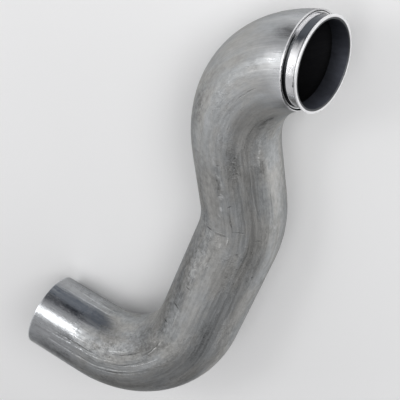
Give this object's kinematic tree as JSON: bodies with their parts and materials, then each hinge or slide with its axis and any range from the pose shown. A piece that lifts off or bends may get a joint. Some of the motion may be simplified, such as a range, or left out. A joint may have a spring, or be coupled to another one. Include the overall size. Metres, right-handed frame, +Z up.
{
  "type": "turbo downpipe",
  "caption": "Bent round steel exhaust pipe with a turned, grooved collar at its inlet and a plain cut outlet, lying loose.",
  "frame": {"origin": "under the middle of the part's box, on the floor that it lies on", "axes": "+X along the pipe's longest extent, from inlet to outlet; +Z up, with the loose pipe lying as it comes to rest"},
  "size_m": [0.8174, 0.2883, 0.1881],
  "materials": {
    "tube_steel": "dull aluminised steel with draw lines and die marks, burnished near both ends",
    "turned_steel": "bright turned steel"
  },
  "bodies": {
    "root": {"bent_tube": "tube_steel", "inlet_collar": "turned_steel"}
  },
  "joints": []
}
